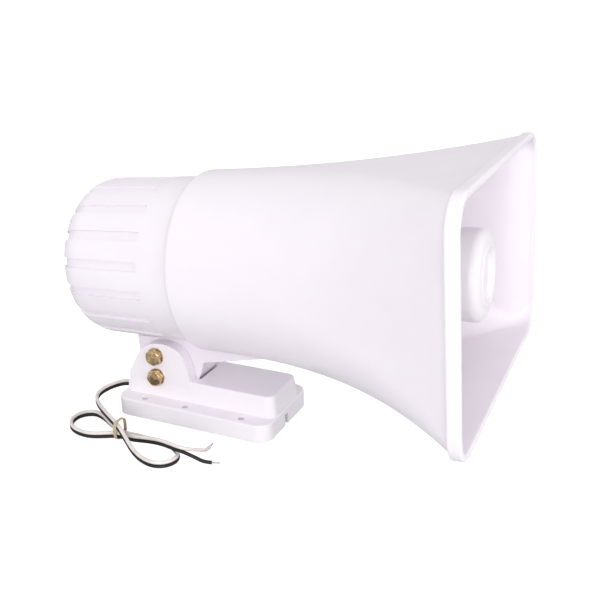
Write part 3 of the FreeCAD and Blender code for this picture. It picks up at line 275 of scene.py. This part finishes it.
def plated_steel(name, dark, mid, bright, rough_low, rough_high, scratch):
    """Plated or bare metal: a mottled film and fine drawn scratches."""
    material, tree, shader = new_material(name)
    place = tree.nodes.new("ShaderNodeTexCoord").outputs["Object"]
    mottle = add_node(
        tree, "ShaderNodeTexNoise", Scale=300.0, Detail=6.0, Roughness=0.7, Distortion=0.6
    )
    tree.links.new(place, mottle.inputs["Vector"])
    ramp = tree.nodes.new("ShaderNodeValToRGB")
    ramp.color_ramp.elements[0].position = 0.34
    ramp.color_ramp.elements[0].color = (*dark, 1)
    ramp.color_ramp.elements[1].position = 0.66
    ramp.color_ramp.elements[1].color = (*bright, 1)
    middle = ramp.color_ramp.elements.new(0.5)
    middle.color = (*mid, 1)
    tree.links.new(mottle.outputs["Fac"], ramp.inputs["Fac"])
    tree.links.new(ramp.outputs["Color"], shader.inputs["Base Color"])
    drawn = tree.nodes.new("ShaderNodeMapping")
    drawn.inputs["Scale"].default_value = (1400, 120, 1400)
    tree.links.new(place, drawn.inputs["Vector"])
    lines = add_node(tree, "ShaderNodeTexNoise", Scale=1.0, Detail=4.0, Roughness=0.6)
    tree.links.new(drawn.outputs["Vector"], lines.inputs["Vector"])
    gloss = value_between(tree, lines.outputs["Fac"], rough_low, rough_high)
    tree.links.new(gloss, shader.inputs["Roughness"])
    bump = add_node(tree, "ShaderNodeBump", Strength=scratch, Distance=0.0003)
    tree.links.new(lines.outputs["Fac"], bump.inputs["Height"])
    tree.links.new(bump.outputs["Normal"], shader.inputs["Normal"])
    shader.inputs["Metallic"].default_value = 1.0
    return material


bolt_plating = plated_steel(
    "bolt_plating", (0.30, 0.19, 0.09), (0.60, 0.44, 0.24), (0.88, 0.74, 0.50), 0.12, 0.30, 0.12
)
washer_plating = plated_steel(
    "washer_plating", (0.30, 0.20, 0.12), (0.66, 0.52, 0.36), (0.95, 0.88, 0.74), 0.18, 0.40, 0.20
)


def turned(name, outline, middle_x, middle_z):
    """A closed shape turned about a line along Y through the given x and z."""
    bpy.ops.object.select_all(action="DESELECT")
    bpy.ops.mesh.primitive_plane_add(size=0.001, location=(0, 0, 0))
    piece = bpy.context.object
    piece.name = name
    bpy.ops.object.mode_set(mode="EDIT")
    bpy.ops.mesh.select_all(action="SELECT")
    bpy.ops.mesh.delete(type="VERT")
    bpy.ops.object.mode_set(mode="OBJECT")
    count = len(outline)
    points = [(middle_x + radius, y, middle_z) for radius, y in outline]
    edges = [(i, i + 1) for i in range(count - 1)]
    piece.data.from_pydata(points, edges, [])
    bpy.ops.object.mode_set(mode="EDIT")
    bpy.ops.mesh.select_all(action="SELECT")
    bpy.ops.mesh.spin(steps=48, angle=math.tau, center=(middle_x, 0, middle_z), axis=(0, 1, 0))
    bpy.ops.mesh.select_all(action="SELECT")
    bpy.ops.mesh.remove_doubles(threshold=0.000005)
    bpy.ops.mesh.select_all(action="SELECT")
    bpy.ops.mesh.normals_make_consistent(inside=False)
    bpy.ops.object.mode_set(mode="OBJECT")
    return piece


def keep_shared(piece, tool, operation):
    """Applies a boolean of the tool to the piece and removes the tool."""
    cutter = piece.modifiers.new("cut", "BOOLEAN")
    cutter.operation = operation
    cutter.solver = "EXACT"
    cutter.object = tool
    bpy.ops.object.select_all(action="DESELECT")
    bpy.context.view_layer.objects.active = piece
    piece.select_set(True)
    bpy.ops.object.modifier_apply(modifier="cut")
    bpy.data.objects.remove(tool)


def smooth_by_angle(piece, degrees):
    bpy.ops.object.select_all(action="DESELECT")
    bpy.context.view_layer.objects.active = piece
    piece.select_set(True)
    bpy.ops.object.shade_smooth_by_angle(angle=math.radians(degrees))


def hex_block(name, y0, y1, x, z, turn):
    """A hexagon bar across the bolt's axis, cut to length, flats apart by the spanner size."""
    bpy.ops.object.select_all(action="DESELECT")
    bpy.ops.mesh.primitive_cylinder_add(
        vertices=6, radius=HEX_CORNER, depth=y1 - y0,
        location=(x, (y0 + y1) / 2, z), rotation=(math.pi / 2, turn, 0),
    )
    piece = bpy.context.object
    piece.name = name
    bpy.ops.object.transform_apply(location=True, rotation=True, scale=True)
    return piece


def worn_edges(piece, width):
    """Rounds the sharp edges a little and shades the rest smooth."""
    bevel = piece.modifiers.new("worn_edges", "BEVEL")
    bevel.width = width
    bevel.segments = 2
    bevel.limit_method = "ANGLE"
    bevel.angle_limit = SHARP_ANGLE
    bpy.ops.object.modifier_apply(modifier="worn_edges")
    smooth_by_angle(piece, 32)


def thread_outline(y0, y1):
    """Flat-topped rings for thread teeth along the shank, with a small chamfer at its end."""
    outline = [(0, y0), (BOLT_CORE, y0)]
    y = y0
    while y + THREAD_PITCH < y1 - THREAD_PITCH * 0.6:
        outline.append((BOLT_CREST, y + THREAD_PITCH * 0.44))
        outline.append((BOLT_CREST, y + THREAD_PITCH * 0.56))
        outline.append((BOLT_CORE, y + THREAD_PITCH))
        y += THREAD_PITCH
    outline.append((BOLT_CORE, y1 - 0.0002))
    outline.append((BOLT_CORE - 0.0003, y1))
    outline.append((0, y1))
    return outline


def hex_bolt(name, cad_node, turn):
    """The bolt of one row: chamfered head with a washer face, plain shank and threaded end."""
    low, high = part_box(cad_node)
    x = (low[0] + high[0]) / 2
    z = (low[2] + high[2]) / 2
    front, end = low[1], high[1]
    seat = front + BOLT_HEAD
    step = seat - WASHER_FACE_HEIGHT
    head = hex_block(name, front, seat - 0.0003, x, z, turn)
    form = turned(name + "_form", [
        (0, front), (CHAMFER_RIM - CHAMFER_INSET, front), (CHAMFER_RIM, front + CHAMFER_EDGE),
        (CHAMFER_WIDE, front + CHAMFER_DROP), (CHAMFER_WIDE, seat), (0, seat),
    ], x, z)
    keep_shared(head, form, "INTERSECT")
    shank = turned(name + "_shank", [
        (0, front + CUT_MARGIN), (BOLT_CORE, front + CUT_MARGIN), (BOLT_CORE, step),
        (WASHER_FACE, step), (WASHER_FACE, seat), (BOLT_CREST, seat), (BOLT_CREST, seat + PLAIN_SHANK),
        *thread_outline(seat + PLAIN_SHANK, end)[1:],
    ], x, z)
    keep_shared(head, shank, "UNION")
    worn_edges(head, 0.00018)
    head.data.materials.append(bolt_plating)
    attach(head, "base")
    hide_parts(cad_node)


def hex_nut(name, cad_node, turn):
    """A nut chamfered on both faces, with a countersunk bore."""
    low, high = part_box(cad_node)
    x = (low[0] + high[0]) / 2
    z = (low[2] + high[2]) / 2
    y0, y1 = low[1], high[1]
    nut = hex_block(name, y0, y1, x, z, turn)
    form = turned(name + "_form", [
        (0, y0), (CHAMFER_RIM - CHAMFER_INSET, y0), (CHAMFER_RIM, y0 + CHAMFER_EDGE),
        (CHAMFER_WIDE, y0 + CHAMFER_DROP), (CHAMFER_WIDE, y1 - CHAMFER_DROP),
        (CHAMFER_RIM, y1 - CHAMFER_EDGE), (CHAMFER_RIM - CHAMFER_INSET, y1), (0, y1),
    ], x, z)
    keep_shared(nut, form, "INTERSECT")
    bore = turned(name + "_bore", [
        (0, y0 - CUT_MARGIN), (NUT_MOUTH, y0 - CUT_MARGIN), (NUT_MOUTH, y0),
        (NUT_HOLE, y0 + NUT_CHAMFER), (NUT_HOLE, y1 - NUT_CHAMFER),
        (NUT_MOUTH, y1), (NUT_MOUTH, y1 + CUT_MARGIN), (0, y1 + CUT_MARGIN),
    ], x, z)
    keep_shared(nut, bore, "DIFFERENCE")
    worn_edges(nut, 0.00014)
    nut.data.materials.append(bolt_plating)
    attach(nut, "base")
    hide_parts(cad_node)


hex_bolt("pivot_hex_bolt", "pivot_bolt", math.radians(0))
hex_bolt("clamp_hex_bolt", "clamp_bolt", math.radians(18))
hex_nut("pivot_hex_nut", "pivot_nut", math.radians(12))
hex_nut("clamp_hex_nut", "clamp_nut", math.radians(27))
dress(["pivot_washers", "clamp_washers"], washer_plating)

# ---- cover screws and driver hardware ----
# Zinc-plated cross-head screws, the driver's stamped yoke plates and its die-cast frame, the
# copper winding of the voice coil and the two brass terminals.
screw_plating = plated_steel(
    "screw_plating", (0.34, 0.34, 0.36), (0.56, 0.56, 0.58), (0.80, 0.80, 0.81), 0.24, 0.46, 0.15
)
yoke_plating = plated_steel(
    "yoke_plating", (0.26, 0.26, 0.28), (0.42, 0.42, 0.44), (0.62, 0.62, 0.64), 0.30, 0.52, 0.2
)
frame_casting = plated_steel(
    "frame_casting", (0.40, 0.40, 0.41), (0.58, 0.58, 0.59), (0.74, 0.74, 0.75), 0.42, 0.62, 0.35
)
coil_winding = plated_steel(
    "coil_winding", (0.42, 0.17, 0.07), (0.66, 0.32, 0.15), (0.86, 0.50, 0.28), 0.25, 0.4, 0.3
)
terminal_brass = plated_steel(
    "terminal_brass", (0.38, 0.25, 0.10), (0.68, 0.50, 0.24), (0.90, 0.75, 0.44), 0.2, 0.38, 0.15
)
dress(["cover_screws", "driver_screws"], screw_plating)
dress(["top_plate", "back_plate"], yoke_plating)
dress(["driver_frame"], frame_casting)
dress(["voice_coil"], coil_winding)
dress(["terminals"], terminal_brass)

# ---- seals, grommets and dark mouldings ----
# Black rubber seals and bushes with a matt skin, the driver's plug, ring and terminal block of
# dull filled plastic, the ferrite ring, and the amber film of the diaphragm.


def dull_skin(name, low, high, rough_low, rough_high, grain, depth):
    """A matt skin: fine grain in tone, gloss and height."""
    material, tree, shader = new_material(name)
    place = tree.nodes.new("ShaderNodeTexCoord").outputs["Object"]
    cloud = add_node(tree, "ShaderNodeTexNoise", Scale=grain, Detail=5.0, Roughness=0.65)
    tree.links.new(place, cloud.inputs["Vector"])
    tone = colour_between(tree, cloud.outputs["Fac"], low, high, 0.3, 0.7)
    tree.links.new(tone, shader.inputs["Base Color"])
    gloss = value_between(tree, cloud.outputs["Fac"], rough_low, rough_high)
    tree.links.new(gloss, shader.inputs["Roughness"])
    bump = add_node(tree, "ShaderNodeBump", Strength=depth, Distance=0.0002)
    tree.links.new(cloud.outputs["Fac"], bump.inputs["Height"])
    tree.links.new(bump.outputs["Normal"], shader.inputs["Normal"])
    return material


seal_rubber = dull_skin(
    "seal_rubber", (0.020, 0.019, 0.021), (0.036, 0.034, 0.037), 0.55, 0.75, 300, 0.3
)
grommet_rubber = dull_skin(
    "grommet_rubber", (0.010, 0.010, 0.011), (0.022, 0.021, 0.022), 0.45, 0.65, 500, 0.25
)
dark_plastic = dull_skin(
    "dark_plastic", (0.016, 0.016, 0.018), (0.028, 0.028, 0.030), 0.4, 0.6, 350, 0.2
)
ferrite = dull_skin(
    "ferrite", (0.010, 0.010, 0.011), (0.030, 0.030, 0.032), 0.5, 0.8, 220, 0.5
)
amber_film = dull_skin(
    "diaphragm_film", (0.30, 0.14, 0.03), (0.44, 0.23, 0.07), 0.3, 0.45, 260, 0.15
)
dress(["cover_seal", "driver_gasket", "surround"], seal_rubber)
dress(["lead_grommet", "entry_grommet"], grommet_rubber)
dress(["phase_plug", "surround_clamp_ring", "terminal_block"], dark_plastic)
dress(["magnet"], ferrite)
dress(["diaphragm"], amber_film)

# ---- two-wire lead ----
# A white and a black PVC wire lie one on the other, cross themselves in two loops, pass
# through the tie and part near their ends. A route point's fourth number is how many degrees
# the white wire leans from above the black one.
WIRE_RADIUS = 0.00115
WIRE_PITCH = 0.0025
WIRE_WHITE = (0.86, 0.80, 0.76)
WIRE_WHITE_DULL = (0.72, 0.66, 0.62)
WIRE_BLACK = (0.007, 0.006, 0.007)
WIRE_BLACK_DULL = (0.004, 0.0035, 0.004)
LEAD_ROUTE = [
    (-0.0500, -0.0080, 0.01100, 0),
    (-0.0630, -0.0080, 0.01100, 0),
    (-0.0700, -0.0150, 0.01040, 0),
    (-0.0732, -0.0250, 0.00980, 0),
    (-0.0716, -0.0340, 0.00940, 0),
    (-0.0640, -0.0424, 0.00920, 0),
    (-0.0492, -0.0526, 0.00910, 0),
    (-0.0340, -0.0622, 0.00930, 0),
    (-0.0240, -0.0695, 0.00760, 0),
    (-0.0130, -0.0770, 0.00380, 0),
    (-0.0030, -0.0816, 0.00245, 0),
    (0.0065, -0.0834, 0.00245, 0),
    (0.0136, -0.0796, 0.00245, 0),
    (0.0160, -0.0724, 0.00245, 0),
    (0.0126, -0.0654, 0.00245, 10),
    (0.0030, -0.0600, 0.00240, 30),
    (-0.0105, -0.0568, 0.00210, 50),
    (-0.0220, -0.0572, 0.00240, 60),
    (-0.0340, -0.0589, 0.00330, 55),
    (-0.0460, -0.0532, 0.00280, 30),
    (-0.0564, -0.0462, 0.00245, 10),
    (-0.0660, -0.0426, 0.00245, 0),
    (-0.0734, -0.0470, 0.00245, 0),
    (-0.0752, -0.0550, 0.00245, 0),
    (-0.0710, -0.0634, 0.00245, 0),
    (-0.0626, -0.0684, 0.00245, 0),
    (-0.0520, -0.0694, 0.00245, 0),
    (-0.0426, -0.0662, 0.00290, 0),
    (-0.0340, -0.0629, 0.00360, 0),
    (-0.0236, -0.0640, 0.00370, 0),
    (-0.0100, -0.0654, 0.00640, 0),
    (0.0020, -0.0684, 0.00910, 0),
    (0.0120, -0.0706, 0.00940, 0),
    (0.0196, -0.0700, 0.00800, 0),
]
WHITE_END = [
    (0.0244, -0.0644, 0.00660),
    (0.0260, -0.0574, 0.00280),
    (0.0258, -0.0536, 0.00115),
    (0.0256, -0.0500, 0.00115),
]
BLACK_END = [
    (0.0270, -0.0692, 0.00440),
    (0.0315, -0.0670, 0.00115),
    (0.0360, -0.0656, 0.00115),
]


def wire_curve(name, side, ends):
    """A round wire along a smooth spline through the pair's route, then its own end."""
    curve = bpy.data.curves.new(name, "CURVE")
    curve.dimensions = "3D"
    curve.bevel_depth = WIRE_RADIUS
    curve.bevel_resolution = 8
    curve.resolution_u = 12
    curve.use_fill_caps = True
    spline = curve.splines.new("NURBS")
    points = []
    for x, y, z, lean in LEAD_ROUTE:
        reach = side * WIRE_PITCH / 2
        tilt = math.radians(lean)
        points.append((x, y - reach * math.sin(tilt), z + reach * math.cos(tilt)))
    points += ends
    spline.points.add(len(points) - 1)
    for point, place in zip(spline.points, points):
        point.co = (*place, 1)
    spline.order_u = 3
    spline.use_endpoint_u = True
    wire = bpy.data.objects.new(name, curve)
    bpy.context.scene.collection.objects.link(wire)
    return wire


def wire_material(name, low, high, rough_low, rough_high):
    """Extruded PVC: fine drawing marks, a faint waviness of the surface and a soft gloss."""
    material, tree, shader = new_material(name)
    place = tree.nodes.new("ShaderNodeTexCoord").outputs["Object"]
    marks = add_node(tree, "ShaderNodeTexNoise", Scale=650.0, Detail=4.0, Roughness=0.6)
    tree.links.new(place, marks.inputs["Vector"])
    wave = add_node(tree, "ShaderNodeTexNoise", Scale=90.0, Detail=2.0, Roughness=0.5)
    tree.links.new(place, wave.inputs["Vector"])
    tone = colour_between(tree, wave.outputs["Fac"], low, high, 0.3, 0.65)
    tree.links.new(tone, shader.inputs["Base Color"])
    gloss = value_between(tree, marks.outputs["Fac"], rough_low, rough_high)
    tree.links.new(gloss, shader.inputs["Roughness"])
    bump = add_node(tree, "ShaderNodeBump", Strength=0.12, Distance=0.0002)
    tree.links.new(marks.outputs["Fac"], bump.inputs["Height"])
    tree.links.new(bump.outputs["Normal"], shader.inputs["Normal"])
    return material


white_pvc = wire_material("white_pvc", WIRE_WHITE_DULL, WIRE_WHITE, 0.28, 0.42)
black_pvc = wire_material("black_pvc", WIRE_BLACK_DULL, WIRE_BLACK, 0.42, 0.58)
dress(["inner_white_lead"], white_pvc)
dress(["inner_black_lead"], black_pvc)

white_lead = wire_curve("white_lead_wire", 1, WHITE_END)
white_lead.data.materials.append(white_pvc)
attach(white_lead, "base")
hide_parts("white_lead")

black_lead = wire_curve("black_lead_wire", -1, BLACK_END)
black_lead.data.materials.append(black_pvc)
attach(black_lead, "base")
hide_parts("black_lead")

# ---- stripped ends of the lead ----
# Tinned strands, twisted together by hand, stand out of each wire's insulation. They are
# drawn from one section with six lobes, which turns as it runs and tapers at its end.
STRAND_CORE = 0.00034
STRAND_SWELL = 0.00020
TWIST_STEPS = 26
TWIST_PER_STEP = math.radians(16)
LOBES = 6
TAPER = 0.86
TAPER_STEPS = 3

tinned_strands = plated_steel(
    "tinned_strands", (0.42, 0.40, 0.37), (0.66, 0.64, 0.60), (0.90, 0.88, 0.84), 0.22, 0.42, 0.2
)


def twisted_tip(name, cad_node, points):
    """A twisted bundle from the end of a wire to the end of its CAD tip."""
    start = Vector(points[-1])
    run = (start - Vector(points[-2])).normalized()
    low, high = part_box(cad_node)
    reach = max((high[i] - low[i]) for i in range(2))
    bpy.ops.object.select_all(action="DESELECT")
    bpy.ops.mesh.primitive_circle_add(
        vertices=48, radius=STRAND_CORE, fill_type="NGON", location=(0, 0, 0)
    )
    tip = bpy.context.object
    tip.name = name
    for vertex in tip.data.vertices:
        angle = math.atan2(vertex.co.y, vertex.co.x)
        lobe = abs(math.cos(angle * LOBES / 2)) ** 0.7
        vertex.co = vertex.co * ((STRAND_CORE + STRAND_SWELL * lobe) / STRAND_CORE)
    bpy.ops.object.mode_set(mode="EDIT")
    bpy.ops.mesh.select_all(action="SELECT")
    for step in range(TWIST_STEPS):
        rise = (0, 0, reach / TWIST_STEPS)
        bpy.ops.mesh.extrude_region_move(TRANSFORM_OT_translate={"value": rise})
        bpy.ops.transform.rotate(value=TWIST_PER_STEP, orient_axis="Z", center_override=(0, 0, 0))
        if step >= TWIST_STEPS - TAPER_STEPS:
            bpy.ops.transform.resize(value=(TAPER, TAPER, 1), center_override=(0, 0, 0))
    bpy.ops.mesh.select_all(action="SELECT")
    bpy.ops.mesh.normals_make_consistent(inside=False)
    bpy.ops.object.mode_set(mode="OBJECT")
    turn = run.to_track_quat("Z", "Y").to_matrix().to_4x4()
    tip.data.transform(Matrix.Translation(start) @ turn)
    smooth_by_angle(tip, 50)
    tip.data.materials.append(tinned_strands)
    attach(tip, "base")
    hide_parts(cad_node)


twisted_tip("white_twisted_tip", "white_lead_tip", WHITE_END)
twisted_tip("black_twisted_tip", "black_lead_tip", BLACK_END)

# ---- tie ----
# A tan strip of waxed paper, wrapped once round the strands of the lead, with soft edges.
# Fibres and faint creases run along the strip.
TIE_LOW = (0.40, 0.31, 0.20)
TIE_HIGH = (0.66, 0.55, 0.40)
TIE_WALL = 0.0006
TIE_ROUND = 0.0034
tie_material, tie_tree, tie_shader = new_material("waxed_paper")
tie_place = tie_tree.nodes.new("ShaderNodeTexCoord").outputs["Object"]
tie_stretch = tie_tree.nodes.new("ShaderNodeMapping")
tie_stretch.inputs["Scale"].default_value = (2600, 260, 260)
tie_tree.links.new(tie_place, tie_stretch.inputs["Vector"])
fibres = add_node(
    tie_tree, "ShaderNodeTexNoise", Scale=1.0, Detail=5.0, Roughness=0.65, Distortion=0.8
)
tie_tree.links.new(tie_stretch.outputs["Vector"], fibres.inputs["Vector"])
tie_tone = colour_between(tie_tree, fibres.outputs["Fac"], TIE_LOW, TIE_HIGH, 0.3, 0.68)
tie_tree.links.new(tie_tone, tie_shader.inputs["Base Color"])
tie_gloss = value_between(tie_tree, fibres.outputs["Fac"], 0.42, 0.62)
tie_tree.links.new(tie_gloss, tie_shader.inputs["Roughness"])
tie_bump = add_node(tie_tree, "ShaderNodeBump", Strength=0.45, Distance=0.0003)
tie_tree.links.new(fibres.outputs["Fac"], tie_bump.inputs["Height"])
tie_tree.links.new(tie_bump.outputs["Normal"], tie_shader.inputs["Normal"])

tie_low, tie_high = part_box("lead_tie")
tie_middle = [(a + b) / 2 for a, b in zip(tie_low, tie_high)]
tie_size = [b - a for a, b in zip(tie_low, tie_high)]
bpy.ops.object.select_all(action="DESELECT")
bpy.ops.mesh.primitive_cube_add(size=1, location=tie_middle, scale=tie_size)
tie = bpy.context.object
tie.name = "paper_tie"
bpy.ops.object.transform_apply(location=True, rotation=True, scale=True)
bpy.ops.object.mode_set(mode="EDIT")
bpy.ops.mesh.select_all(action="DESELECT")
bpy.ops.object.mode_set(mode="OBJECT")
for face in tie.data.polygons:
    face.select = abs(face.normal.x) > 0.5
bpy.ops.object.mode_set(mode="EDIT")
bpy.ops.mesh.delete(type="FACE")
bpy.ops.mesh.select_all(action="SELECT")
bpy.ops.mesh.subdivide(number_cuts=3)
bpy.ops.object.mode_set(mode="OBJECT")
for vertex in tie.data.vertices:
    away_y = abs(vertex.co.y - tie_middle[1]) - (tie_size[1] / 2 - TIE_ROUND)
    away_z = abs(vertex.co.z - tie_middle[2]) - (tie_size[2] / 2 - TIE_ROUND)
    if away_y > 0 and away_z > 0:
        pull = TIE_ROUND / math.hypot(away_y, away_z)
        if pull < 1:
            vertex.co.y -= away_y * (1 - pull) * math.copysign(1, vertex.co.y - tie_middle[1])
            vertex.co.z -= away_z * (1 - pull) * math.copysign(1, vertex.co.z - tie_middle[2])
wall = tie.modifiers.new("wall", "SOLIDIFY")
wall.thickness = TIE_WALL
wall.offset = -1
round_over = tie.modifiers.new("round_over", "SUBSURF")
round_over.levels = 3
round_over.render_levels = 3
bpy.context.view_layer.objects.active = tie
tie.select_set(True)
bpy.ops.object.modifier_apply(modifier="wall")
bpy.ops.object.modifier_apply(modifier="round_over")
smooth_by_angle(tie, 60)
tie.data.materials.append(tie_material)
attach(tie, "base")
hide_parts("lead_tie")
